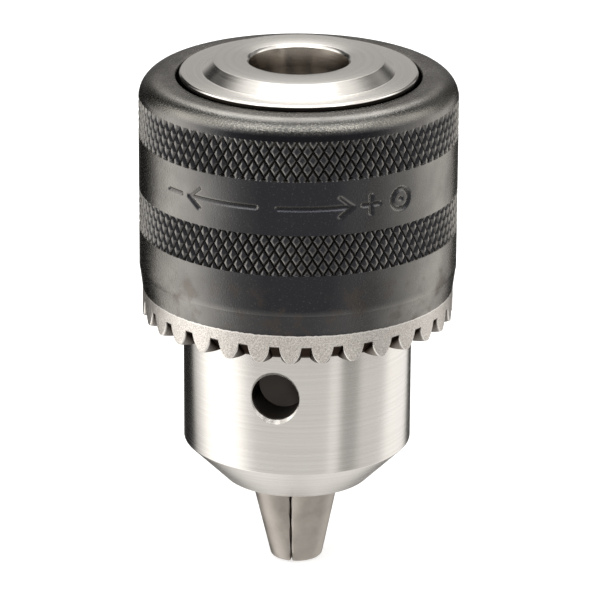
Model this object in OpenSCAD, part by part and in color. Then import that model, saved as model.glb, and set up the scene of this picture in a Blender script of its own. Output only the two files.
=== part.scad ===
// Keyed drill chuck with a threaded spindle hole, jaws closed.
// Origin: on the axis, where the spindle thread starts, one counterbore depth below the rear face.
// Axes: +Z towards the spindle, -Z towards the jaw tips, one key hole faces -Y.

/* [Body] */
// Outer radius of the short boss the spindle shoulder seats on
boss_r = 11.35; // [10:0.05:12.5]
// Height of the boss and of its 45 degree flank
boss_h = 1.5; // [0.5:0.1:3]
// Radius of the rear flange inside the sleeve mouth
flange_r = 15.9; // [15:0.05:16]
// Radius of the body in front of the sleeve
front_r = 15.4; // [14.5:0.05:15.6]
// Length of the body, rear face to nose face
body_len = 58.6; // [56:0.1:62]
// Radius of the flat nose face
nose_r = 10; // [9:0.1:12]

/* [Spindle and shank holes] */
// Wall radius of the spindle thread
thread_r = 5.75; // [5.6:0.05:6]
// Length of the spindle thread
thread_len = 14; // [12:0.5:16]
// Radius of the plain counterbore ahead of the thread
counterbore_r = 6.6; // [6.4:0.05:7]
// Depth of that counterbore
counterbore_d = 5.2; // [1:0.1:6]
// Radius of the retaining screw hole through the middle
screw_hole_r = 3.2; // [2.6:0.1:3.5]
// Radius of the shank hole in the nose
shank_r = 6.6; // [6.5:0.05:6.8]
// Depth of the shank hole behind the nose face
shank_d = 20.6; // [18:0.1:24]

/* [Key holes] */
// Radius of the three key pilot holes
key_r = 3.2; // [3:0.05:3.3]
// Distance of their axes in front of the rear face
key_z = 42.4; // [41:0.1:44]
// Distance from the chuck axis to their flat bottoms
key_floor = 9; // [8.6:0.1:10]
// Size of the 45 degree chamfer round their mouths
key_chamfer = 0.475; // [0.2:0.025:0.8]

/* [Sleeve] */
// Largest radius of the sleeve
sleeve_r = 21.3; // [20.9:0.05:22]
// Start of the sleeve in front of the rear face
sleeve_top = 2.1; // [1.8:0.1:2.6]
// End of the sleeve in front of the rear face
sleeve_end = 35.3; // [34.9:0.1:36]
// Radius of the round rear edge
sleeve_round = 3; // [1.5:0.1:3]
// Clearance between the sleeve mouth and the flange
mouth_gap = 0.4; // [0.2:0.05:0.5]
// Radius of the hollow that the jaw tails swing out into
hollow_r = 19.6; // [19.5:0.05:19.8]
// Running clearance on the body, radial
running_gap = 0.05; // [0.02:0.01:0.1]

/* [Gear teeth] */
// Number of teeth round the front edge
teeth = 31; // [24:1:36]
// Radius over the teeth
teeth_r = 20.9; // [20.4:0.05:21.2]
// Height of a tooth up the outside
teeth_h = 2.4; // [1.5:0.1:3]
// Width of the gap at its root
gap_root = 1.1; // [0.6:0.05:1.4]
// Width of the gap at the tooth tips
gap_tip = 2.5; // [1.4:0.05:2.6]

/* [Split nut] */
// Outer radius, pressed into the sleeve
nut_r = 16.2; // [16.1:0.05:16.3]
// Length of the nut
nut_h = 6; // [5:0.1:6.2]
// Width of the split between the halves
nut_split = 0.4; // [0.1:0.05:0.8]

/* [Jaws] */
// Angle between a jaw and the chuck axis
jaw_angle = 14; // [13.5:0.1:14.5]
// Radius of a jaw rod
jaw_r = 3.7; // [3.5:0.05:3.8]
// Length of a jaw along its rod
jaw_len = 42.5; // [42:0.1:42.6]
// Distance of the closed jaw tips in front of the rear face
jaw_tip = 70.9; // [70.5:0.1:71.5]
// Offset of the rod axis from the chuck axis at the tip
jaw_offset = -0.325; // [-0.5:0.025:0]
// Radius of the drill the closed jaws still hold
grip_r = 0.75; // [0.5:0.05:1]
// Half of the gap between two closed jaws
jaw_half_gap = 0.1; // [0.05:0.05:0.2]
// Travel of a jaw along its rod, closed to open
jaw_travel = 23.7; // [20:0.1:23.7]
// Distance between two threads along the rod
pitch = 2; // [1.5:0.1:2.5]
// Depth of the jaw and nut threads
thread_d = 0.7; // [0.4:0.05:0.9]

/* [Hidden] */
jaw_turns = [-30, 90, 210];
key_turns = [-90, 30, 150];
// first tooth gap, measured from the front key hole
gap_turn = 2.85;
jaw_tan = tan(jaw_angle);
jaw_sec = 1 / cos(jaw_angle);
ring_pitch = pitch / jaw_sec;
rod_gap = 0.06;
bevel = 0.3;
mouth_bevel = 0.2;
lip_z = -5.3;
nut_bottom = -33.5;
nut_top = nut_bottom + nut_h;
groove_top = nut_top + 0.2;
groove_bottom = nut_bottom - 0.2;
groove_r = 12.2;
thread_end = -counterbore_d - thread_len;
shank_top = -body_len + shank_d;
nose_z = -body_len + front_r - nose_r;
taper_z = -28.5;
silver_z = -31.4;
teeth_root = -sleeve_end + teeth_h;
round_z = -sleeve_top - sleeve_round;
jaw_thread_top = -31.2;
jaw_thread_rings = 13;
big = 200;
$fn = 120;

// radial distance of a rod's centre line at height z
function rod_axis(z) = jaw_offset + (z + jaw_tip) * jaw_tan;

// farthest reach of a rod from the chuck axis at height z
function rod_reach(z) = rod_axis(z) + jaw_r * jaw_sec;

// heights below are counted from the rear face, the frame's origin is the thread start
module from_rear_face() {
  translate([0, 0, counterbore_d])
    children();
}

// rod of radius r along one slanted jaw axis, s measured from the closed tip
module rod(turn, r, s_from, s_to) {
  rotate([0, 0, turn])
    translate([jaw_offset, 0, -jaw_tip])
      rotate([0, jaw_angle, 0])
        translate([0, 0, s_from])
          cylinder(r = r, h = s_to - s_from, $fn = 72);
}

// ring cutter of a buttress thread, its deep edge at radius r and height z
module thread_ring(r, z, depth, reach) {
  rise = ring_pitch * 0.8;
  rotate_extrude()
    polygon([
      [r - depth, z],
      [r + reach, z],
      [r + reach + rise * jaw_tan, z + rise],
      [r + rise * jaw_tan, z + rise]
    ]);
}

module body_outline() {
  polygon([
    [0, 0],
    [boss_r, 0],
    [boss_r + boss_h, -boss_h],
    [flange_r - bevel, -boss_h],
    [flange_r, -boss_h - bevel],
    [flange_r, groove_top],
    [groove_r, groove_top],
    [groove_r, groove_bottom],
    [front_r, groove_bottom],
    [front_r, nose_z],
    [nose_r, -body_len],
    [0, -body_len]
  ]);
}

module spindle_hole() {
  drill_point = (thread_r - screw_hole_r) * tan(30);
  rotate_extrude()
    polygon([
      [0, 1],
      [counterbore_r + mouth_bevel + 1, 1],
      [counterbore_r, -mouth_bevel],
      [counterbore_r, -counterbore_d],
      [thread_r, -counterbore_d],
      [thread_r, thread_end],
      [screw_hole_r, thread_end - drill_point],
      [0, thread_end - drill_point]
    ]);
}

module key_hole(turn) {
  mouth = key_r + key_chamfer;
  rotate([0, 0, turn])
    translate([0, 0, -key_z])
      rotate([0, 90, 0]) {
        translate([0, 0, key_floor])
          cylinder(r = key_r, h = front_r, $fn = 72);
        translate([0, 0, front_r - key_chamfer])
          cylinder(r1 = key_r, r2 = mouth + 1, h = key_chamfer + 1, $fn = 72);
      }
}

module body() {
  color([0.72, 0.72, 0.72])
    from_rear_face()
      difference() {
        rotate_extrude()
          body_outline();
        spindle_hole();
        translate([0, 0, -body_len])
          cylinder(r = screw_hole_r, h = body_len);
        translate([0, 0, -body_len - 1])
          cylinder(r = shank_r, h = shank_d + 1);
        for (turn = jaw_turns)
          rod(turn, jaw_r + rod_gap, 0, jaw_len + jaw_travel + 0.4);
        for (turn = key_turns)
          key_hole(turn);
      }
}

// closed outline of the sleeve wall, right of the axis
module sleeve_outline() {
  difference() {
    polygon([
      [flange_r + mouth_gap, -sleeve_top],
      [sleeve_r, -sleeve_top],
      [sleeve_r, taper_z],
      [teeth_r, silver_z],
      [teeth_r, -sleeve_end],
      [front_r + running_gap, -sleeve_end],
      [front_r + running_gap, nut_bottom],
      [nut_r, nut_bottom],
      [nut_r, groove_top],
      [hollow_r, groove_top],
      [hollow_r, lip_z],
      [flange_r + mouth_gap, lip_z]
    ]);
    translate([sleeve_r - sleeve_round, round_z])
      difference() {
        square(sleeve_round + 1);
        circle(r = sleeve_round, $fn = 48);
      }
  }
}

// one slanted gap across the lower outer edge, wider towards the outside
module tooth_gap() {
  depth = teeth_h / sqrt(2);
  flare = (gap_tip - gap_root) / 2 / depth;
  tall = depth * 1.6;
  half = gap_root / 2;
  translate([teeth_r - teeth_h / 2, 0, teeth_root - teeth_h / 2])
    rotate([0, 135, 0])
      rotate([0, 0, 90])
        rotate([90, 0, 0])
          linear_extrude(height = teeth_h * 3, center = true)
            polygon([
              [-half, 0],
              [half, 0],
              [half + tall * flare, tall],
              [-half - tall * flare, tall]
            ]);
}

module sleeve() {
  color([0.2, 0.2, 0.21])
    from_rear_face()
      difference() {
        rotate_extrude()
          sleeve_outline();
        for (i = [0 : teeth - 1])
          rotate([0, 0, -90 + gap_turn + i * 360 / teeth])
            tooth_gap();
      }
}

// side is 1 for the half towards +Y and -1 for the other
module nut_half(side) {
  clear = 0.1;
  from_rear_face()
    difference() {
      rotate_extrude()
        polygon([
          [rod_reach(nut_bottom) + clear, nut_bottom],
          [nut_r, nut_bottom],
          [nut_r, nut_top],
          [rod_reach(nut_top) + clear, nut_top]
        ]);
      for (i = [0 : 2]) {
        z = nut_bottom + 0.2 + i * ring_pitch;
        rotate_extrude()
          polygon([
            [rod_reach(z) - 1, z],
            [rod_reach(z) + thread_d, z],
            [rod_reach(z) - 1, z + ring_pitch * 0.7]
          ]);
      }
      translate([-big / 2, side > 0 ? nut_split / 2 - big : -nut_split / 2, -big / 2])
        cube([big, big, big]);
    }
}

module nut_half_a() {
  color([0.62, 0.6, 0.56])
    nut_half(1);
}

module nut_half_b() {
  color([0.62, 0.6, 0.56])
    nut_half(-1);
}

// wedge of one third of a turn that a closed jaw may fill, cut back for the gap
module jaw_third() {
  apex = jaw_half_gap / sin(60);
  side = 40;
  translate([0, apex, -jaw_tip])
    linear_extrude(height = big)
      polygon([
        [0, 0],
        [side * tan(60), side],
        [0, side * 2],
        [-side * tan(60), side]
      ]);
}

// one jaw facing +Y, threads cut across its outer side
module jaw_blank() {
  difference() {
    intersection() {
      rod(90, jaw_r, -2, jaw_len);
      jaw_third();
    }
    translate([0, 0, -big / 2])
      cylinder(r = grip_r, h = big, $fn = 48);
    for (i = [0 : jaw_thread_rings - 1]) {
      z = jaw_thread_top - i * ring_pitch;
      thread_ring(rod_reach(z), z, thread_d, 3);
    }
  }
}

module jaw(turn) {
  color([0.66, 0.64, 0.6])
    from_rear_face()
      rotate([0, 0, turn - 90])
        jaw_blank();
}

module jaw_1() {
  jaw(jaw_turns[0]);
}

module jaw_2() {
  jaw(jaw_turns[1]);
}

module jaw_3() {
  jaw(jaw_turns[2]);
}

body();
sleeve();
nut_half_a();
nut_half_b();
jaw_1();
jaw_2();
jaw_3();
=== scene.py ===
import math

import bmesh
import bpy
import numpy as np
from mathutils import Matrix, Vector


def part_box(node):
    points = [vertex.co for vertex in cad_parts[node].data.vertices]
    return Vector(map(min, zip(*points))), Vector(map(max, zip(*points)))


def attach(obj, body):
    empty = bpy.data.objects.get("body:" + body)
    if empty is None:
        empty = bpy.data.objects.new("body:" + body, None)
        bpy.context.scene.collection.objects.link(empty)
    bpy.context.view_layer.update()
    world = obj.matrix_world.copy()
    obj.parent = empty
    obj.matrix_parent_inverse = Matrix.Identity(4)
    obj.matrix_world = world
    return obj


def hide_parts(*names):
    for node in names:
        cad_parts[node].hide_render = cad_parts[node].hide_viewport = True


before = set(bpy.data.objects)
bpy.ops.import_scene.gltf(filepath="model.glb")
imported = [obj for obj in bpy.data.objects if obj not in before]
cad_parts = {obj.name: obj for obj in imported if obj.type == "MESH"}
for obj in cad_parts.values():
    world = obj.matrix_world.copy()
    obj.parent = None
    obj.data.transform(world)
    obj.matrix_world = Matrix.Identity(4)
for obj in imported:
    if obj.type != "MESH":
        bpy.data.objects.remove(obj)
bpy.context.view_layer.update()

# A keyed drill chuck. Lengths are in millimetres with heights counted from the rear face,
# until world_points() turns them into metres in the frame of the CAD.
MM = 0.001
TAU = 2 * math.pi
# Edges shorter than this, in metres, are merged away after a cut.
SLIVER = 0.002 * MM


def top_of(node):
    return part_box(node)[1][2] / MM


def bottom_of(node):
    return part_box(node)[0][2] / MM


def radius_of(node):
    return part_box(node)[1][0] / MM


REAR = top_of("body")
BODY_LEN = REAR - bottom_of("body")
JAW_TIP = REAR - bottom_of("jaw_1")
SLEEVE_TOP = REAR - top_of("sleeve")
SLEEVE_END = REAR - bottom_of("sleeve")
SLEEVE_R = radius_of("sleeve")
FLANGE_R = radius_of("body")
FRONT_R = FLANGE_R - 0.5
NUT_R = 16.2
NUT_TOP = -27.3
NUT_FOOT = -33.5
TEETH = 31
GAP_TURN = math.radians(-90 + 2.85)
KEY_Z = -42.4
KEY_R = 3.2
KEY_TURNS = (-90, 30, 150)
JAW_TURNS = (-30, 90, 210)
JAW_ANGLE = math.radians(14)
JAW_R = 3.7
JAW_LEN = 42.5
JAW_OFFSET = -0.325
THREAD_PITCH = 2.0
RING_PITCH = THREAD_PITCH * math.cos(JAW_ANGLE)


# ---------------------------------------------------------------- mesh tools


def world_points(points):
    """Millimetres from the rear face to metres in the frame."""
    return (np.asarray(points, float) + [0, 0, REAR]) * MM


def from_polar(r, theta, z):
    return np.stack([r * np.cos(theta), r * np.sin(theta), z + 0 * theta], -1)


def ring_faces(rows, cols, close_rows):
    """Quads of a grid that wraps round its columns, and round its rows if close_rows."""
    i = np.arange(rows if close_rows else rows - 1)[:, None]
    j = np.arange(cols)[None, :]
    below, right = (i + 1) % rows, (j + 1) % cols
    quads = np.stack([i * cols + j, i * cols + right, below * cols + right, below * cols + j], -1)
    return quads.reshape(-1, 4)


def new_piece(name, points, faces, sharp=35.0):
    mesh = bpy.data.meshes.new(name)
    mesh.from_pydata(points.tolist(), [], faces)
    mesh.validate()
    obj = bpy.data.objects.new(name, mesh)
    bpy.context.scene.collection.objects.link(obj)
    shade(obj, sharp)
    return obj


def shade(obj, sharp):
    mesh = obj.data
    mesh.polygons.foreach_set("use_smooth", [True] * len(mesh.polygons))
    mesh.set_sharp_from_angle(angle=math.radians(sharp))
    mesh.update()


def ring_piece(name, rows, sharp=35.0):
    """A closed ring from rows of points, each row going once round the axis."""
    rows = np.asarray(rows)
    faces = ring_faces(rows.shape[0], rows.shape[1], True)[:, ::-1]
    return new_piece(name, world_points(rows.reshape(-1, 3)), faces.tolist(), sharp)


def capped_piece(name, rows, sharp=35.0):
    """A closed tube from rows of points, with a fan at each end."""
    rows = np.asarray(rows)
    count, cols = rows.shape[:2]
    points = np.concatenate([rows.reshape(-1, 3), rows[0].mean(0)[None], rows[-1].mean(0)[None]])
    faces = ring_faces(count, cols, False).tolist()
    first, last = count * cols, count * cols + 1
    for j in range(cols):
        k = (j + 1) % cols
        faces.append([first, k, j])
        faces.append([last, (count - 1) * cols + j, (count - 1) * cols + k])
    return new_piece(name, world_points(points), faces, sharp)


def subtract(obj, cutters, sharp=35.0):
    """Cuts each cutter out of obj, then deletes the cutters."""
    for cutter in cutters:
        mod = obj.modifiers.new("cut", "BOOLEAN")
        mod.operation = "DIFFERENCE"
        mod.solver = "MANIFOLD"
        mod.object = cutter
    graph = bpy.context.evaluated_depsgraph_get()
    result = bpy.data.meshes.new_from_object(obj.evaluated_get(graph))
    clean = bmesh.new()
    clean.from_mesh(result)
    bmesh.ops.dissolve_degenerate(clean, dist=SLIVER, edges=clean.edges)
    clean.to_mesh(result)
    clean.free()
    obj.modifiers.clear()
    obj.data = result
    for cutter in cutters:
        bpy.data.objects.remove(cutter)
    shade(obj, sharp)


def arc(cx, cz, r, start, end, steps):
    """Points (r, z) of an arc in a profile, angles in degrees."""
    turn = np.radians(np.linspace(start, end, steps + 1))
    return [(cx + r * math.cos(t), cz + r * math.sin(t)) for t in turn]


def rounded(corners, r=0.12, steps=2):
    """A profile with each corner eased, so that its edges catch the light."""
    pts = [Vector(c) for c in corners]
    out = []
    for k in range(len(pts)):
        before, here, after = pts[k - 1], pts[k], pts[(k + 1) % len(pts)]
        a, b = before - here, after - here
        cut = min(r, a.length * 0.4, b.length * 0.4)
        start, end = here + a.normalized() * cut, here + b.normalized() * cut
        for s in range(steps + 1):
            t = s / steps
            out.append(tuple(start.lerp(here, t).lerp(here.lerp(end, t), t)))
    return out


def smooth_step(x, start, end):
    t = np.clip((x - start) / (end - start), 0, 1)
    return t * t * (3 - 2 * t)


# ---------------------------------------------------------------- sleeve

KNURL_COUNT = 93
KNURL_TALL = 2.44
KNURL_DEPTH = 0.38
KNURL_CROWN = 2.2
KNURL_STEPS = 10
KNURL_ROW = KNURL_TALL / KNURL_STEPS
KNURL_BANDS = ((-10.12, -4.7), (-22.97, -17.45))
REAR_ROUND = 3.0
TAPER_Z = -28.5
TAPER_STEP = 0.035
SILVER_Z = -31.4
MARKS_Z = (KNURL_BANDS[0][0] + KNURL_BANDS[1][1]) / 2
MARKS_HALF = 1.9
MARKS_ROW = 0.12
MARK_HALF_WIDTH = 0.27
MARK_DEPTH = 0.25
ARROW_X = 6.4
DRILL_X = 18.6
TEETH_R = 20.9
TEETH_H = 2.4
TOOTH_TALL = 1.73
TOOTH_POWER = 1.65
TOOTH_EDGE = 0.13
ROOT_Z = -SLEEVE_END + TEETH_H
GAP_HALF = 0.64
GAP_STEPS = 3
SIDE_STEPS = 12
# Knurl grooves meet grid points, because COLS_PER_TOOTH * TEETH is a multiple of KNURL_COUNT.
COLS_PER_TOOTH = 2 * (GAP_STEPS + SIDE_STEPS)
SLEEVE_COLS = TEETH * COLS_PER_TOOTH


def knurl_turns(theta, z):
    """Distance from the nearest groove of each of the two crossing sets, 0 to 1."""
    around = (theta - GAP_TURN) * KNURL_COUNT / TAU
    along = z / KNURL_TALL
    return [np.abs((turn + 0.5) % 1.0 - 0.5) * 2 for turn in (around + along, around - along)]


def in_knurl(z):
    """Whether each height lies in a knurled band."""
    return sum((z > low) & (z < high) for low, high in KNURL_BANDS).astype(bool)


def knurl_radius(theta, z):
    """Outside radius that the two crossing sets of grooves leave, each diamond rounded on top."""
    falling, rising = knurl_turns(theta, z)
    groove = (1 - np.minimum(falling, rising)) ** KNURL_CROWN
    return SLEEVE_R - KNURL_DEPTH * in_knurl(z) * groove


def along_grooves(quads, points):
    """Splits the quads of the knurled bands so that no groove is cut across."""
    middle = points[quads].mean(1)
    theta, z = np.arctan2(middle[:, 1], middle[:, 0]), middle[:, 2]
    outside = np.hypot(middle[:, 0], middle[:, 1]) > SLEEVE_R - 2 * KNURL_DEPTH
    knurled = outside & in_knurl(z)
    falling, rising = knurl_turns(theta, z)
    faces = quads[~knurled].tolist()
    splits = (
        (falling <= rising, ((0, 1, 3), (1, 2, 3))),
        (falling > rising, ((0, 1, 2), (0, 2, 3))),
    )
    for mask, corners in splits:
        for corner in corners:
            faces += quads[knurled & mask][:, corner].tolist()
    return faces


def tooth_columns():
    """Angle of each column from the gap's middle, and the height of the tooth there."""
    pitch_half = TAU * TEETH_R / TEETH / 2
    floor = np.linspace(0, GAP_HALF, GAP_STEPS + 1)[:-1]
    t = np.linspace(0, math.pi / 2, SIDE_STEPS + 1)
    side = pitch_half - (pitch_half - GAP_HALF) * np.cos(t) ** (2 / TOOTH_POWER)
    rise = TOOTH_TALL * np.sin(t) ** (2 / TOOTH_POWER)
    place = np.concatenate([floor, side])
    height = np.concatenate([0 * floor, rise])
    place = np.concatenate([place, 2 * pitch_half - place[-2:0:-1]])
    height = np.concatenate([height, height[-2:0:-1]])
    return place / TEETH_R, height


def stroke(theta, z, start, end, flat=0.35):
    """How deep a round-nosed cutter bites along one straight stroke, 0 to 1."""
    x, y = theta * SLEEVE_R, z
    ax, ay = start
    bx, by = end[0] - ax, end[1] - ay
    t = np.clip(((x - ax) * bx + (y - ay) * by) / (bx * bx + by * by), 0, 1)
    away = np.hypot(x - ax - t * bx, y - ay - t * by)
    return np.clip(1 + flat - away / MARK_HALF_WIDTH, 0, 1)


def arrow_strokes(x, way, half=5.0, barb=(1.7, 1.3), apart=2.6, size=1.2):
    """An arrow for one way of turning, with a plus or a minus sign beyond its head."""
    y = MARKS_Z
    out = [((x - half, y), (x + half, y))]
    for side in (-1, 1):
        out.append(((x + way * half, y), (x + way * (half - barb[0]), y + side * barb[1])))
    sign = x + way * (half + apart)
    out.append(((sign - size, y), (sign + size, y)))
    if way > 0:
        out.append(((sign, y - size), (sign, y + size)))
    return out


def drill_strokes(x, size=1.4, sides=14, dot=0.1):
    """A ring with a dot in its middle: the drill that the chuck holds."""
    y = MARKS_Z
    turns = [TAU * k / sides for k in range(sides)]
    corners = [(x + size * math.cos(turn), y + size * math.sin(turn)) for turn in turns]
    return [(corners[k - 1], corners[k]) for k in range(sides)] + [((x - dot, y), (x + dot, y))]


def engraving(theta, z):
    """Depth of the engraved signs on the band between the knurls."""
    deep = np.zeros_like(theta)
    if abs(z[0] - MARKS_Z) > MARKS_HALF:
        return deep
    turn = (theta + TAU / 4 + TAU / 2) % TAU - TAU / 2
    for start, end in arrow_strokes(-ARROW_X, -1) + arrow_strokes(ARROW_X, 1) + drill_strokes(DRILL_X):
        deep = np.maximum(deep, stroke(turn, z, start, end))
    return MARK_DEPTH * deep


def band_levels(low, high, beyond=0.02, within=0.03):
    """Heights of the rows down one knurled band, each inner one where the grooves meet grid points."""
    steps = [-KNURL_ROW * k for k in range(int(-low / KNURL_ROW) + 1)]
    inner = [z for z in steps if low + within < z < high - within]
    return [high + beyond] + inner + [low - beyond]


def plain_levels():
    """Heights of the rows down the plain band between the knurls, close together at the signs."""
    clear = 0.1
    top, foot = MARKS_Z + MARKS_HALF, MARKS_Z - MARKS_HALF
    above = np.linspace(KNURL_BANDS[0][0] - clear, top, 4)
    signs = np.arange(top - MARKS_ROW, foot, -MARKS_ROW)
    below = np.linspace(foot, KNURL_BANDS[1][1] + clear, 4)
    return [*above, *signs, *below]


def sleeve_outline():
    """Profile (r, z) down the outside, from the mouth to the start of the teeth, without the knurl."""
    lip = ((0.0, 0.4), (0.05, 0.18), (0.16, 0.05), (0.34, 0.0), (1.0, 0.0))
    outline = [(FLANGE_R + 0.4 + out, -SLEEVE_TOP - deep) for out, deep in lip]
    outline += arc(SLEEVE_R - REAR_ROUND, -SLEEVE_TOP - REAR_ROUND, REAR_ROUND, 90, 45, 7)
    levels = [-SLEEVE_TOP - REAR_ROUND * k for k in (0.36, 0.44, 0.52, 0.6, 0.67)]
    levels += band_levels(*KNURL_BANDS[0]) + plain_levels() + band_levels(*KNURL_BANDS[1])
    for z in levels:
        rise = max(0.0, z + SLEEVE_TOP + REAR_ROUND)
        outline.append((SLEEVE_R - REAR_ROUND + math.sqrt(REAR_ROUND**2 - rise**2), z))
    outline += [(SLEEVE_R, z) for z in np.linspace(KNURL_BANDS[1][0] - 0.2, TAPER_Z + 0.05, 8)]
    outline += [(SLEEVE_R - 0.03, TAPER_Z - 0.02), (SLEEVE_R - TAPER_STEP, TAPER_Z - 0.1)]
    shoulder, fall = SLEEVE_R - TAPER_STEP - TEETH_R, SILVER_Z - TAPER_Z
    outline += [(TEETH_R + shoulder * (1 - k / 5), TAPER_Z + fall * k / 5) for k in range(1, 6)]
    return outline


def sleeve_outer_rows(even):
    """Rows down the outside, with the knurl and the signs cut into them."""
    out = []
    for r, z in sleeve_outline():
        level = np.full(SLEEVE_COLS, z)
        outer = np.minimum(r, knurl_radius(even, level)) - engraving(even, level)
        out.append(from_polar(outer, even, level))
    return out


def tooth_section(height):
    """Points (u, h) from a tooth's outer root over its top to its inner root, for every column.

    u runs along the slope of the gap's floor and h is the height above it.
    """
    length = TEETH_H * math.sqrt(2)
    half, least = length / 2, 0.03
    reach = np.clip(height, least, half - least)
    ease = np.minimum(TOOTH_EDGE, 0.4 * np.minimum(reach, half - reach))
    outer = [((reach - ease) * t, (reach - ease) * t) for t in np.linspace(0, 1, 5)]
    edge = []
    for t in (0.25, 0.5, 0.75):
        below = ease * (1 - t) ** 2
        edge.append((reach - below + ease * t**2, reach - below))
    top = [(reach + ease + (half - reach - ease) * t, reach) for t in np.linspace(0, 1, 4)]
    section = outer + edge + top
    return section + [(length - u, h) for u, h in section[-2::-1]]


def sleeve_tooth_rows(even, toothed):
    """Rows across the teeth: down their outside and in along their front."""
    out = []
    for k in range(1, 5):
        t = k / 5
        level = np.full(SLEEVE_COLS, SILVER_Z + (ROOT_Z - SILVER_Z) * t)
        out.append(from_polar(np.full(SLEEVE_COLS, TEETH_R), even * (1 - t) + toothed * t, level))
    height = np.tile(tooth_columns()[1], TEETH)
    raised = (height > 0.02).astype(float)
    for u, h in tooth_section(height):
        rise = h * raised
        r = TEETH_R - (u - rise) / math.sqrt(2)
        z = ROOT_Z - (u + rise) / math.sqrt(2)
        out.append(from_polar(r, toothed, z))
    return out


def sleeve_inner_rows(toothed):
    """Rows back up the inside: running bore, nut seat, hollow and lip."""
    bore, hollow, hollow_z, lip = FRONT_R + 0.05, 19.6, -15.0, -5.3
    ease = 0.3
    profile = [(r, -SLEEVE_END) for r in (17.3, 16.2, bore + ease)]
    profile += [
        (bore, -SLEEVE_END + ease), (bore, NUT_FOOT), (NUT_R, NUT_FOOT), (NUT_R, NUT_TOP),
        (hollow - 0.6, NUT_TOP),
        (hollow, NUT_TOP + 0.6), (hollow, hollow_z), (hollow, lip - 0.5), (hollow - 0.5, lip),
        (FLANGE_R + 0.4, lip),
    ]
    return [from_polar(np.full(SLEEVE_COLS, r), toothed, np.full(SLEEVE_COLS, z)) for r, z in profile]


def make_sleeve():
    sector = TAU / TEETH * np.repeat(np.arange(TEETH), COLS_PER_TOOTH)
    even = GAP_TURN + TAU * np.arange(SLEEVE_COLS) / SLEEVE_COLS
    toothed = GAP_TURN + sector + np.tile(tooth_columns()[0], TEETH)
    rows = sleeve_outer_rows(even) + sleeve_tooth_rows(even, toothed) + sleeve_inner_rows(toothed)
    points = np.concatenate(rows)
    quads = ring_faces(len(rows), SLEEVE_COLS, True)[:, ::-1]
    sleeve = new_piece("sleeve_knurled", world_points(points), along_grooves(quads, points), sharp=24.0)
    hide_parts("sleeve")
    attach(sleeve, "sleeve")
    return sleeve


# ---------------------------------------------------------------- body

BODY_COLS = 360
SPINDLE_PITCH = 1.27
SPINDLE_CORE = 5.75
SPINDLE_MAJOR = 6.35
COUNTERBORE_R = 6.6
COUNTERBORE_D = REAR
MOUTH = 0.42
BOSS_R = 11.35
BOSS_FOOT_R = 12.87
BOSS_TALL = 1.5
GROOVE_R = 12.2
SPINDLE_END = -REAR - 14.0
SCREW_TOP = SPINDLE_END - 1.5
SCREW_R = 3.2
SHANK_R = 6.6
SHANK_TOP = -38.0
NOSE_R = 10.0
KEY_FLOOR = 9.0
KEY_CHAMFER = 0.475
BORE_PLAY = 0.06
BORE_BEYOND = 24.1


def body_outside():
    """Outer corners of the body from the hole's mouth down to the nose, then up the shank hole."""
    nose_z = -BODY_LEN + FRONT_R - NOSE_R
    groove_foot = NUT_FOOT - 0.2
    corners = [
        (COUNTERBORE_R + MOUTH, 0.0), (BOSS_R, 0.0), (BOSS_FOOT_R, -BOSS_TALL),
        (FLANGE_R - 0.25, -BOSS_TALL), (FLANGE_R, -BOSS_TALL - 0.3),
        (FLANGE_R, NUT_TOP), (GROOVE_R, NUT_TOP), (GROOVE_R, groove_foot), (FRONT_R, groove_foot),
        (FRONT_R, nose_z), (NOSE_R, -BODY_LEN), (SHANK_R, -BODY_LEN),
        (SHANK_R, SHANK_TOP), (SCREW_R, SHANK_TOP), (SCREW_R, SCREW_TOP),
    ]
    return rounded(corners, 0.1)[3:-3]


def spindle_rows(theta, slope=2.6, flat=0.15, run_in=1.0, run_out=0.5):
    """Rows up the helical thread of the spindle hole, which fades at both ends."""
    out = []
    for z in np.arange(SPINDLE_END, -COUNTERBORE_D + 0.01, SPINDLE_PITCH / 10):
        phase = (z / SPINDLE_PITCH - theta / TAU) % 1.0
        crest = np.clip(np.abs(phase - 0.5) * slope - flat, 0, 1)
        fade = smooth_step(z, SPINDLE_END, SPINDLE_END + run_in)
        fade = fade * smooth_step(-z, COUNTERBORE_D, COUNTERBORE_D + run_out)
        r = SPINDLE_CORE + (SPINDLE_MAJOR - SPINDLE_CORE) * crest * fade
        out.append(from_polar(r, theta, np.full(len(theta), z)))
    return out


def tube_cutter(turn, base, lean, stations, cols=96):
    """A round cutter through stations (distance along its axis, radius)."""
    spin = Matrix.Rotation(math.radians(turn), 3, "Z") @ Matrix.Rotation(lean, 3, "Y")
    start = Matrix.Rotation(math.radians(turn), 3, "Z") @ Vector(base)
    theta = TAU * np.arange(cols) / cols
    rows = []
    for s, r in stations:
        ring = from_polar(np.full(cols, r), theta, np.full(cols, s))
        rows.append(ring @ np.array(spin).T + np.array(start))
    return capped_piece("cutter", rows)


def body_cutters():
    """The three slanted jaw bores and the three key holes, countersunk."""
    cutters = []
    for turn in JAW_TURNS:
        stations = ((0, JAW_R + BORE_PLAY), (JAW_LEN + BORE_BEYOND, JAW_R + BORE_PLAY))
        cutters.append(tube_cutter(turn, (JAW_OFFSET, 0, -JAW_TIP), JAW_ANGLE, stations))
    for turn in KEY_TURNS:
        drilled = ((KEY_FLOOR, KEY_R - 1.9), (KEY_FLOOR + 0.9, KEY_R), (FRONT_R - KEY_CHAMFER, KEY_R))
        stations = (*drilled, (FRONT_R + 1, KEY_R + KEY_CHAMFER + 1))
        cutters.append(tube_cutter(turn, (0, 0, KEY_Z), math.pi / 2, stations))
    return cutters


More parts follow.
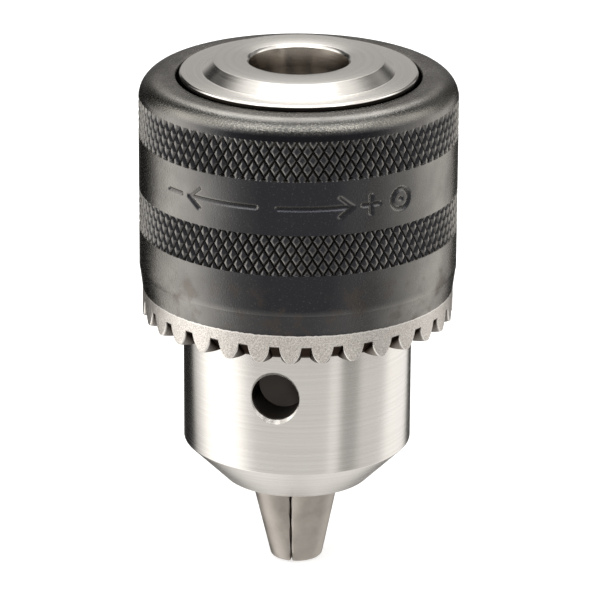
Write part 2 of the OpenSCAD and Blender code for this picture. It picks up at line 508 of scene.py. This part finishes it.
def make_body():
    theta = TAU * np.arange(BODY_COLS) / BODY_COLS

    def ring(r, z):
        return from_polar(np.full(BODY_COLS, r), theta, np.full(BODY_COLS, z))

    rows = [ring(r, z) for r, z in body_outside()] + [ring(SCREW_R, SCREW_TOP)] + spindle_rows(theta)
    ease = 0.03
    chamfer = ((0.0, MOUTH + ease), (ease, MOUTH - ease), (MOUTH - ease, ease), (MOUTH + 0.05, 0.0))
    for out, deep in ((0.0, COUNTERBORE_D), *chamfer):
        rows.append(ring(COUNTERBORE_R + out, -deep))
    body = ring_piece("body_turned", rows, sharp=30.0)
    subtract(body, body_cutters(), sharp=30.0)
    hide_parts("body")
    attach(body, "body")
    return body


# ---------------------------------------------------------------- jaws

JAW_COLS = 96
GRIP_R = 0.75
JAW_GAP_HALF = 0.1
JAW_EDGE = 0.16
JAW_THREAD_DEPTH = 0.7
JAW_THREAD_SPAN = (-57.0, -30.4)
JAW_LEAN_SPAN = (-52.0, -42.0)
JAW_REACH = 9.0
GRIP_EDGE = 0.08
TAIL_EDGE = 0.35
SIN_60 = math.sin(math.pi / 3)
HALVINGS = 26


def rod_axis(z):
    return JAW_OFFSET + (z + JAW_TIP) * math.tan(JAW_ANGLE)


def round_max(a, b, r):
    """Largest of two distances, with the edge where they meet rounded to r."""
    inside = np.minimum(-r, np.maximum(a, b))
    return inside + np.hypot(np.maximum(a + r, 0), np.maximum(b + r, 0))


def jaw_distance(p):
    """Below zero inside a jaw that faces +X."""
    x, y, z = p[..., 0], p[..., 1], p[..., 2]
    away = np.hypot(x, y)
    lean_x, lean_z = math.sin(JAW_ANGLE), math.cos(JAW_ANGLE)
    along = (x - JAW_OFFSET) * lean_x + (z + JAW_TIP) * lean_z
    across = (x - JAW_OFFSET) * lean_z - (z + JAW_TIP) * lean_x
    rod = np.hypot(across, y) - JAW_R
    reach = rod_axis(z) + JAW_R / math.cos(JAW_ANGLE)
    phase = (z / RING_PITCH - np.arctan2(y, x) / TAU) % 1.0
    floor, slope, steep, run_in = 0.15, 1.3, 0.12, 1.5
    groove = np.clip(1 + floor - phase * slope, 0, 1) * smooth_step(phase, 0, steep)
    groove = groove * smooth_step(z, JAW_THREAD_SPAN[0], JAW_THREAD_SPAN[0] + run_in)
    crest = away - (reach - JAW_THREAD_DEPTH * groove)
    third = 0.5 * np.abs(y) - (x - JAW_GAP_HALF / SIN_60) * SIN_60
    out = np.maximum(rod, crest)
    out = round_max(out, third, JAW_EDGE)
    out = round_max(out, GRIP_R - away, GRIP_EDGE)
    out = round_max(out, -JAW_TIP - z, JAW_EDGE * 1.6)
    return round_max(out, along - JAW_LEN, TAIL_EDGE)


def jaw_rows():
    """Rows up a jaw that faces +X. Each point is found by halving the distance to the surface."""
    rear_z = -JAW_TIP + JAW_LEN * math.cos(JAW_ANGLE)
    tip = [-JAW_TIP + step for step in (0.0005, 0.02, 0.06, 0.12, 0.19, 0.26)]
    front = np.arange(-JAW_TIP + 0.5, JAW_THREAD_SPAN[0], 0.5)
    thread = np.arange(JAW_THREAD_SPAN[0], rear_z - 0.5, RING_PITCH / 14)
    rear = [rear_z - step for step in (0.38, 0.28, 0.2, 0.13, 0.07, 0.03, 0.0005)]
    turn = TAU * np.arange(JAW_COLS) / JAW_COLS
    rows = []
    for z in np.concatenate([tip, front, thread, rear]):
        lean = JAW_ANGLE * smooth_step(z, *JAW_LEAN_SPAN)
        outer = rod_axis(z) + JAW_R / math.cos(JAW_ANGLE)
        centre = np.array([max(rod_axis(z), (GRIP_R + outer) / 2), 0.0, z])
        ways = np.stack([np.cos(turn) * math.cos(lean), np.sin(turn), -np.cos(turn) * math.sin(lean)], -1)
        near, far = np.zeros(JAW_COLS), np.full(JAW_COLS, JAW_REACH)
        for _ in range(HALVINGS):
            middle = (near + far) / 2
            outside = jaw_distance(centre + ways * middle[:, None]) > 0
            near, far = np.where(outside, near, middle), np.where(outside, middle, far)
        rows.append(centre + ways * near[:, None])
    return np.array(rows)


def make_jaws():
    rows = jaw_rows()
    jaws = []
    for k, turn in enumerate(JAW_TURNS, 1):
        spin = np.array(Matrix.Rotation(math.radians(turn), 3, "Z"))
        jaw = capped_piece(f"jaw_ground_{k}", rows @ spin.T, sharp=40.0)
        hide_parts(f"jaw_{k}")
        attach(jaw, f"jaw_{k}")
        jaws.append(jaw)
    return jaws


# ---------------------------------------------------------------- material tools


def height_at(z):
    """Metres above the frame's origin, as shaders measure it."""
    return (REAR + z) * MM


def paint(material, *objects):
    for obj in objects:
        obj.data.materials.clear()
        obj.data.materials.append(material)


class Shader:
    """A small helper that adds nodes to one material or world."""

    def __init__(self, name, makers=bpy.data.materials, last="Principled BSDF", place="Object"):
        self.mat = makers.new(name)
        self.mat.use_nodes = True
        self.tree = self.mat.node_tree
        self.bsdf = self.tree.nodes[last]
        self.place = self.node("ShaderNodeTexCoord").outputs[place]

    def node(self, kind, **settings):
        made = self.tree.nodes.new(kind)
        for key, value in settings.items():
            setattr(made, key, value)
        return made

    def link(self, source, target):
        if isinstance(source, (int, float)):
            target.default_value = source
        else:
            self.tree.links.new(source, target)

    def math(self, operation, a, b=0.0, c=0.0):
        made = self.node("ShaderNodeMath", operation=operation)
        for value, target in zip((a, b, c), made.inputs):
            self.link(value, target)
        return made.outputs[0]

    def axes(self, vector):
        return self.link_in("ShaderNodeSeparateXYZ", vector).outputs

    def link_in(self, kind, vector):
        made = self.node(kind)
        self.tree.links.new(vector, made.inputs[0])
        return made

    def combine(self, x, y, z):
        made = self.node("ShaderNodeCombineXYZ")
        for value, target in zip((x, y, z), made.inputs):
            self.link(value, target)
        return made.outputs[0]

    def times(self, first, *others):
        for other in others:
            first = self.math("MULTIPLY", first, other)
        return first

    def noise(self, vector, scale, detail=3.0, rough=0.55):
        made = self.node("ShaderNodeTexNoise")
        self.tree.links.new(vector, made.inputs["Vector"])
        made.inputs["Scale"].default_value = scale
        made.inputs["Detail"].default_value = detail
        made.inputs["Roughness"].default_value = rough
        return made.outputs["Fac"]

    def spread(self, value, low, high, to_low=0.0, to_high=1.0, kind="LINEAR"):
        made = self.node("ShaderNodeMapRange", interpolation_type=kind)
        made.clamp = True
        for target, number in zip(made.inputs[1:5], (low, high, to_low, to_high)):
            target.default_value = number
        self.link(value, made.inputs[0])
        return made.outputs[0]

    def mix(self, amount, a, b):
        made = self.node("ShaderNodeMix", data_type="RGBA")
        self.link(amount, made.inputs[0])
        for value, target in ((a, made.inputs[6]), (b, made.inputs[7])):
            if isinstance(value, tuple):
                target.default_value = (*value, 1)
            else:
                self.tree.links.new(value, target)
        return made.outputs[2]

    def radius(self):
        """Distance from the axis and height, in metres."""
        x, y, z = self.axes(self.place)
        flat = self.combine(x, y, 0.0)
        made = self.node("ShaderNodeVectorMath", operation="LENGTH")
        self.tree.links.new(flat, made.inputs[0])
        return made.outputs["Value"], z

    def lathe_space(self, around=0.02):
        """Coordinates in which turning marks are nearly constant round the axis."""
        x, y, z = self.axes(self.place)
        r = self.radius()[0]
        return self.combine(self.math("MULTIPLY_ADD", x, around, r), self.math("MULTIPLY", y, around), z)

    def bump(self, height, strength, distance, below=None):
        made = self.node("ShaderNodeBump")
        made.inputs["Strength"].default_value = strength
        made.inputs["Distance"].default_value = distance
        self.tree.links.new(height, made.inputs["Height"])
        if below is not None:
            self.tree.links.new(below, made.inputs["Normal"])
        return made.outputs[0]

    def facing(self):
        """0 where the surface faces the eye, 1 where it is seen edge-on."""
        made = self.node("ShaderNodeLayerWeight")
        made.inputs["Blend"].default_value = 0.5
        return made.outputs["Facing"]

    def tangent(self):
        """Stretches the gloss round the axis, as turning marks do."""
        made = self.node("ShaderNodeTangent", direction_type="RADIAL", axis="Z")
        self.tree.links.new(made.outputs[0], self.bsdf.inputs["Tangent"])

    def set(self, **sockets):
        for name, value in sockets.items():
            target = self.bsdf.inputs[name.replace("_", " ")]
            if isinstance(value, tuple):
                target.default_value = (*value, 1)
            else:
                self.link(value, target)


STEEL_TONES = ((0.78, 0.755, 0.715), (0.86, 0.835, 0.795))
STEEL_CLOUD = (0.78, 0.75, 0.70)
SPINDLE_BROWN = (0.30, 0.27, 0.235)
FLANGE_GAP_SHADE = (0.03, 0.026, 0.022)
INSIDE_SHADE = (0.09, 0.08, 0.072)


def turned_color(s, r, z, wide, shaded_inside):
    """Bright steel, browner in the spindle hole, with painted shade in the gap round the flange and in the
    key holes.
    """
    cloud = s.noise(s.place, 160, 3.0)
    color = s.mix(s.spread(wide, 0.35, 0.7), *STEEL_TONES)
    color = s.mix(s.spread(cloud, 0.35, 0.7, 0.0, 0.4), color, STEEL_CLOUD)
    in_hole = s.spread(r, (COUNTERBORE_R + 0.02) * MM, (COUNTERBORE_R + 0.06) * MM, 1.0, 0.0)
    in_spindle = s.times(in_hole, s.spread(z, height_at(-22.0), height_at(-21.0)))
    color = s.mix(in_spindle, color, SPINDLE_BROWN)
    # Painted shade on the flange's top edge, in the narrow gap round it.
    on_wall = s.spread(r, (FLANGE_R - 0.06) * MM, (FLANGE_R - 0.02) * MM)
    flange_gap_shade = s.times(on_wall, s.spread(z, height_at(-1.78), height_at(-1.72), 1.0, 0.0))
    color = s.mix(flange_gap_shade, color, FLANGE_GAP_SHADE)
    # Painted shade inside the body round the key holes.
    return s.mix(shaded_inside, color, INSIDE_SHADE)


def turned_steel():
    """Bright steel with fine marks from the lathe, smoother at the rear."""
    s = Shader("turned steel")
    lathe = s.lathe_space(0.003)
    fine = s.noise(lathe, 14000, 2.0)
    wide = s.noise(lathe, 2600, 3.0)
    r, z = s.radius()
    # Where shade is painted inside the body round the key holes; these places are also made rougher.
    inside = s.spread(r, (FRONT_R - 0.9) * MM, (FRONT_R - 0.6) * MM, 1.0, 0.0)
    above = s.spread(z, height_at(KEY_Z - 6.0), height_at(KEY_Z - 5.8))
    below = s.spread(z, height_at(KEY_Z + 5.8), height_at(KEY_Z + 6.0), 1.0, 0.0)
    shaded_inside = s.times(inside, above, below)
    s.set(Base_Color=turned_color(s, r, z, wide, shaded_inside), Metallic=1.0)
    s.set(Anisotropic=0.9, Anisotropic_Rotation=0.25)
    smoother = s.spread(z, height_at(-4.0), height_at(-3.0), 0.0, -0.07)
    rough = s.math("ADD", s.spread(fine, 0.3, 0.7, 0.23, 0.28), smoother)
    s.set(Roughness=s.math("MULTIPLY_ADD", shaded_inside, 0.15, rough))
    s.set(Normal=s.bump(fine, 0.10, 0.00001, s.bump(wide, 0.035, 0.00002)))
    s.tangent()
    return s.mat


OXIDE_SEEN_SQUARE = (0.040, 0.041, 0.047)
OXIDE_SEEN_FLAT = (0.44, 0.425, 0.395)
OXIDE_CLOUD = (0.04, 0.04, 0.042)
OXIDE_RUST = (0.105, 0.082, 0.060)
OXIDE_BLASTED = (0.27, 0.26, 0.225)
OXIDE_SPECKS = (0.36, 0.34, 0.31)
OXIDE_SHADE = (0.008, 0.008, 0.010)
OXIDE_GROOVE_SHADE = (0.018, 0.018, 0.019)
BARE_TONES = ((0.46, 0.43, 0.39), (0.95, 0.91, 0.86))
BARE_GAP_SHADE = (0.055, 0.042, 0.034)
BARE_RIM_HIGHLIGHT = (1.0, 0.98, 0.94)
BARE_WORN = (1.0, 0.97, 0.92)


def oxide_color(s, r, z, speck):
    """Black oxide: paler at a grazing view, rusty near the teeth, blasted on the rounded rear edge, with
    painted shade below that edge and in the knurl grooves.
    """
    facing = s.facing()
    color = s.mix(s.spread(facing, 0.08, 0.55), OXIDE_SEEN_SQUARE, OXIDE_SEEN_FLAT)
    cloud = s.noise(s.place, 140, 4.0)
    color = s.mix(s.spread(cloud, 0.35, 0.68, 0.0, 0.35), color, OXIDE_CLOUD)
    rust = s.spread(s.noise(s.place, 420, 4.0), 0.50, 0.66)
    rust = s.times(rust, s.spread(z, height_at(-26.0), height_at(-24.0), 0.4, 0.0))
    color = s.mix(rust, color, OXIDE_RUST)
    blasted = s.times(
        s.spread(z, height_at(-SLEEVE_TOP - 1.9), height_at(-SLEEVE_TOP - 1.2)),
        s.spread(z, height_at(-SLEEVE_TOP - 1.0), height_at(-SLEEVE_TOP - 0.2), 1.0, 0.0),
        s.spread(speck, 0.38, 0.62, 0.15, 0.75),
    )
    color = s.mix(blasted, color, OXIDE_BLASTED)
    color = s.mix(s.spread(speck, 0.60, 0.78, 0.0, 0.2), color, OXIDE_SPECKS)
    band_foot, band_top = KNURL_BANDS[1][0], KNURL_BANDS[0][1]
    # Painted shade: the oxide darkened, where seen face-on, between the rounded rear edge and the first
    # knurl.
    shade_below_round = s.times(
        s.spread(facing, 0.03, 0.22, 0.75, 0.0),
        s.spread(z, height_at(-SLEEVE_TOP - 2.0), height_at(-SLEEVE_TOP - 1.4), 1.0, 0.0),
        s.spread(z, height_at(band_top - 0.4), height_at(band_top)),
    )
    color = s.mix(shade_below_round, color, OXIDE_SHADE)
    # Painted shade: darker down in the knurl grooves and the engraved signs.
    groove_shade = s.times(
        s.spread(r, (SLEEVE_R - KNURL_DEPTH) * MM, (SLEEVE_R - 0.06) * MM, 0.75, 0.0),
        s.spread(z, height_at(band_foot), height_at(band_foot + 0.1)),
        s.spread(z, height_at(band_top - 0.9), height_at(band_top - 0.7), 1.0, 0.0),
    )
    return s.mix(groove_shade, color, OXIDE_GROOVE_SHADE)


def bare_color(s, r, z, grit, edge, silver_z):
    """Bare steel: painted shade down in the gaps, a painted highlight at the rims, and bright along the
    worn edge of the oxide.
    """
    color = s.mix(s.spread(grit, 0.3, 0.7), *BARE_TONES)
    past_root = s.math("SUBTRACT", s.math("SUBTRACT", r, z), (TEETH_R - REAR - ROOT_Z) * MM)
    under = s.spread(z, height_at(ROOT_Z + 0.05), height_at(ROOT_Z + 0.15), 1.0, 0.0)
    # Painted shade down in the gaps between the teeth.
    tooth_gap_shade = s.times(
        s.spread(past_root, 0.0004, 0.0024, 1.0, 0.5),
        s.spread(r, (TEETH_R - 0.3) * MM, (TEETH_R - 0.08) * MM, 1.0, 0.0),
        s.spread(r, (TEETH_R - 3.7) * MM, (TEETH_R - 2.0) * MM, 0.3, 1.0),
        under,
    )
    color = s.mix(tooth_gap_shade, color, BARE_GAP_SHADE)
    # Painted highlight along the eased rims of the teeth.
    rim_highlight = s.times(
        s.spread(r, (TEETH_R - 0.16) * MM, (TEETH_R - 0.07) * MM),
        s.spread(r, (TEETH_R - 0.03) * MM, (TEETH_R - 0.005) * MM, 0.8, 0.0),
        under,
    )
    color = s.mix(rim_highlight, color, BARE_RIM_HIGHLIGHT)
    worn = s.spread(edge, silver_z - 0.00022, silver_z - 0.00010, 0.0, 0.7)
    return s.mix(worn, color, BARE_WORN)


def sleeve_skin():
    """Black oxide down to an uneven edge, then bare blasted steel on the teeth."""
    s = Shader("black oxide and bare teeth")
    r, z = s.radius()
    x, y, _ = s.axes(s.place)
    speck = s.noise(s.place, 4600, 2.0)
    grit = s.noise(s.place, 6500, 2.0)
    scratch = s.noise(s.combine(x, y, s.math("MULTIPLY", z, 0.06)), 5200, 2.0)
    edge = s.math("MULTIPLY_ADD", s.noise(s.place, 1600, 3.0), 0.0003, z)
    silver_z = height_at(SILVER_Z) + 0.00015
    silver = s.spread(edge, silver_z - 0.00003, silver_z + 0.00003, 1.0, 0.0)
    oxide, bare = oxide_color(s, r, z, speck), bare_color(s, r, z, grit, edge, silver_z)
    s.set(Base_Color=s.mix(silver, oxide, bare), Metallic=1.0, Specular_Tint=(0.35, 0.35, 0.36))
    oxide_rough = s.times(s.spread(speck, 0.3, 0.75, 0.17, 0.30), s.math("SUBTRACT", 1.0, silver))
    bare_rough = s.times(s.spread(grit, 0.3, 0.7, 0.30, 0.44), silver)
    s.set(Roughness=s.math("ADD", oxide_rough, bare_rough))
    s.set(Normal=s.bump(grit, 0.35, 0.00003, s.bump(scratch, 0.12, 0.00003, s.bump(speck, 0.6, 0.00005))))
    return s.mat


GROUND_TONES = ((0.37, 0.34, 0.305), (0.51, 0.475, 0.43))


def ground_steel(name):
    """Hardened steel, ground matte, slightly mottled."""
    s = Shader(name)
    cloud = s.noise(s.place, 420, 5.0)
    grit = s.noise(s.place, 7000, 2.0)
    x, y, z = s.axes(s.place)
    drag = s.noise(s.combine(x, y, s.math("MULTIPLY", z, 12.0)), 900, 2.0)
    color = s.mix(s.spread(cloud, 0.3, 0.7), *GROUND_TONES)
    s.set(Base_Color=color, Metallic=1.0, Roughness=s.spread(cloud, 0.3, 0.7, 0.40, 0.55))
    s.set(Normal=s.bump(grit, 0.3, 0.00002, s.bump(drag, 0.2, 0.00002)))
    return s.mat


# ---------------------------------------------------------------- stage, light and camera

# Each wall is its level, its middle and half its width in degrees, and how softly it ends.
WALLS = ((0.67, 9, 134, 5), (0.85, -84, 12, 30), (0.42, 123, 15, 16), (-0.3, 55, 5, 9), (0.2, 38, 3, 5))
FLOOR_R = 0.6
FLOOR_COLS = 24
FLOOR_GLOW = 0.62
CAMERA_TURN = math.radians(11.2)
CAMERA_RISE = math.radians(20.15)
CAMERA_ROLL = math.radians(0.31)
CAMERA_AWAY = 0.604
CAMERA_LENS = 268.5
CAMERA_SHIFT = 0.0039
AIM_Z = -34.0
TOWARDS = Vector((math.sin(CAMERA_TURN), -math.cos(CAMERA_TURN), 0))
RIGHT = Vector((math.cos(CAMERA_TURN), math.sin(CAMERA_TURN), 0))
MIDDLE = Vector((0, 0, (REAR + AIM_Z) * MM))


def make_camera():
    """The photo's viewing angle: a long lens a little above the chuck."""
    data = bpy.data.cameras.new("camera")
    data.sensor_width = 36.0
    data.lens = CAMERA_LENS
    data.shift_x = CAMERA_SHIFT
    data.clip_start = 0.01
    cam = bpy.data.objects.new("camera", data)
    bpy.context.scene.collection.objects.link(cam)
    back = TOWARDS * math.cos(CAMERA_RISE) + Vector((0, 0, math.sin(CAMERA_RISE)))
    up = back.cross(RIGHT)
    turn = Matrix((RIGHT, up, back)).transposed() @ Matrix.Rotation(CAMERA_ROLL, 3, "Z")
    cam.matrix_world = Matrix.Translation(MIDDLE + back * CAMERA_AWAY) @ turn.to_4x4()
    bpy.context.scene.camera = cam


def soft_box(name, side, rise, away, wide, tall, watts):
    """An area light aimed at the chuck, side degrees right of the camera."""
    data = bpy.data.lights.new(name, "AREA")
    data.shape = "RECTANGLE"
    data.size = wide
    data.size_y = tall
    data.energy = watts
    light = bpy.data.objects.new(name, data)
    bpy.context.scene.collection.objects.link(light)
    a, e = math.radians(side), math.radians(rise)
    out = (TOWARDS * math.cos(a) + RIGHT * math.sin(a)) * math.cos(e) + Vector((0, 0, math.sin(e)))
    light.location = MIDDLE + out * away
    light.rotation_euler = (-out).to_track_quat("-Z", "Y").to_euler()


def along(shader, way):
    """How far the shader's place lies along a direction."""
    made = shader.node("ShaderNodeVectorMath", operation="DOT_PRODUCT")
    made.inputs[1].default_value = way
    shader.tree.links.new(shader.place, made.inputs[0])
    return made.outputs["Value"]


def make_world():
    """White to the camera. The metal sees the walls of a studio, by degrees right of the camera."""
    s = Shader("studio", bpy.data.worlds, "Background", "Generated")
    bpy.context.scene.world = s.mat
    side = s.math("MULTIPLY", s.math("ARCTAN2", along(s, RIGHT), along(s, TOWARDS)), 360 / TAU)
    either_side = s.math("ABSOLUTE", side)
    height = s.axes(s.place)[2]

    def wall(level, centre, half, soft, angle=either_side):
        away = s.math("ABSOLUTE", s.math("SUBTRACT", angle, float(centre)))
        return s.spread(away, half, half + soft, level, 0.0, "SMOOTHSTEP")

    def heights(low, high, at_low, at_high):
        return s.spread(height, low, high, at_low, at_high, "SMOOTHSTEP")

    level = 0.0
    for panel in WALLS:
        level = s.math("ADD", level, wall(*panel, side))
    low = heights(-0.12, -0.02, 1.0, 0.0)
    high = s.math("SUBTRACT", 1.0, low)
    level = s.math("MULTIPLY_ADD", wall(0.45, 180, 8, 7), low, level)
    level = s.times(level, heights(0.45, 0.75, 1.0, 0.3))
    behind = s.math("SUBTRACT", 1.0, wall(1.0, 0, 108, 16))
    cut = s.times(s.spread(height, 0.0, 0.12, 0.0, 0.8), behind)
    level = s.times(level, s.math("SUBTRACT", 1.0, cut))
    level = s.math("MULTIPLY_ADD", wall(0.9, 78, 30, 16), s.spread(height, 0.35, 0.5), level)
    level = s.math("MULTIPLY_ADD", wall(0.42, 180, 18, 14), high, level)
    level = s.math("MULTIPLY_ADD", wall(0.6, 180, 22, 26), heights(0.40, 0.56, 0.0, 1.0), level)
    level = s.math("ADD", s.math("MAXIMUM", level, heights(-0.88, -0.6, 0.8, 0.0)), 0.02)
    seen = s.node("ShaderNodeLightPath").outputs["Is Camera Ray"]
    s.bsdf.inputs["Color"].default_value = (1.0, 0.98, 0.96, 1)
    s.link(s.math("MAXIMUM", level, s.math("MULTIPLY", seen, 1.05)), s.bsdf.inputs["Strength"])


def floor_paint():
    """Pale and slightly glowing from above, clear from below."""
    s = Shader("pale floor")
    tone = s.spread(s.noise(s.place, 30, 3.0), 0.3, 0.7)
    s.set(Base_Color=s.mix(tone, (0.70, 0.70, 0.70), (0.72, 0.72, 0.72)), Roughness=0.8)
    s.set(Emission_Color=(1.0, 1.0, 1.0), Emission_Strength=FLOOR_GLOW)
    clear = s.node("ShaderNodeBsdfTransparent")
    either = s.node("ShaderNodeMixShader")
    s.link(s.node("ShaderNodeNewGeometry").outputs["Backfacing"], either.inputs[0])
    s.link(s.bsdf.outputs[0], either.inputs[1])
    s.link(clear.outputs[0], either.inputs[2])
    s.link(either.outputs[0], s.tree.nodes["Material Output"].inputs["Surface"])
    return s.mat


def make_floor():
    """A round floor under the jaw tips, which the metal doesn't mirror."""
    theta = TAU * np.arange(FLOOR_COLS) / FLOOR_COLS
    level = np.full(FLOOR_COLS, height_at(-JAW_TIP) - 0.0002)
    rows = [from_polar(np.full(FLOOR_COLS, r), theta, level) for r in (FLOOR_R * 0.2, FLOOR_R)]
    faces = ring_faces(2, FLOOR_COLS, False)[:, ::-1].tolist() + [list(range(FLOOR_COLS))]
    floor = new_piece("floor", np.concatenate(rows), faces)
    paint(floor_paint(), floor)
    floor.visible_glossy = False


def make_lights():
    soft_box("over", side=0, rise=68, away=0.70, wide=0.90, tall=0.36, watts=2.6)
    soft_box("behind", side=180, rise=62, away=0.70, wide=0.50, tall=0.40, watts=0.9)


def main():
    sleeve = make_sleeve()
    body = make_body()
    jaws = make_jaws()
    paint(sleeve_skin(), sleeve)
    paint(turned_steel(), body)
    paint(ground_steel("ground jaw steel"), *jaws)
    paint(ground_steel("nut steel"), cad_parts["nut_half_a"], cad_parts["nut_half_b"])
    make_world()
    make_floor()
    make_lights()
    make_camera()
    bpy.context.scene.view_settings.view_transform = "Standard"


main()
